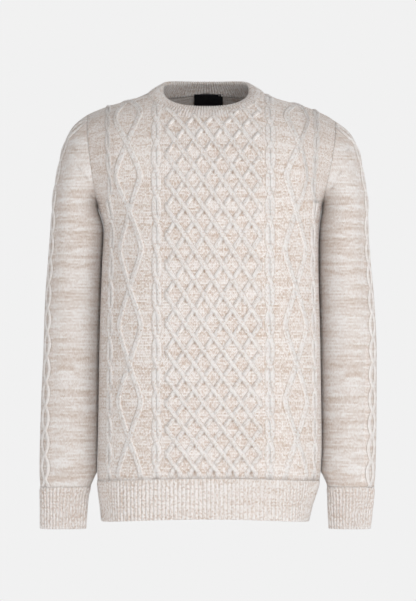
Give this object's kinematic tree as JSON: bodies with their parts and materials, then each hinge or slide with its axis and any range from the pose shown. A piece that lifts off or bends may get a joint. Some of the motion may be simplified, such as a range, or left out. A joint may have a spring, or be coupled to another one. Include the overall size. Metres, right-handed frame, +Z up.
{
  "type": "cable knit sweater",
  "caption": "Hollow crew neck cable knit sweater with long set-in sleeves, held in its worn, filled-out shape with its arms hanging at the sides.",
  "frame": {"origin": "midway between the shoulders, level with the points where the shoulders meet the neck, where the wearer's shoulders hold the sweater up", "axes": "+X to the right of someone facing the sweater's front, -Y out of the front, +Z up"},
  "size_m": [0.5468, 0.253, 0.7272],
  "materials": {
    "knit": "marled ecru and tan yarn",
    "label": "black woven satin"
  },
  "bodies": {
    "root": {"front_panel": "knit", "back_panel": "knit", "hem_rib_front": "knit", "hem_rib_back": "knit", "sleeve_left": "knit", "sleeve_right": "knit", "cuff_left": "knit", "cuff_right": "knit", "neckband": "knit", "neck_label": "label"}
  },
  "joints": []
}
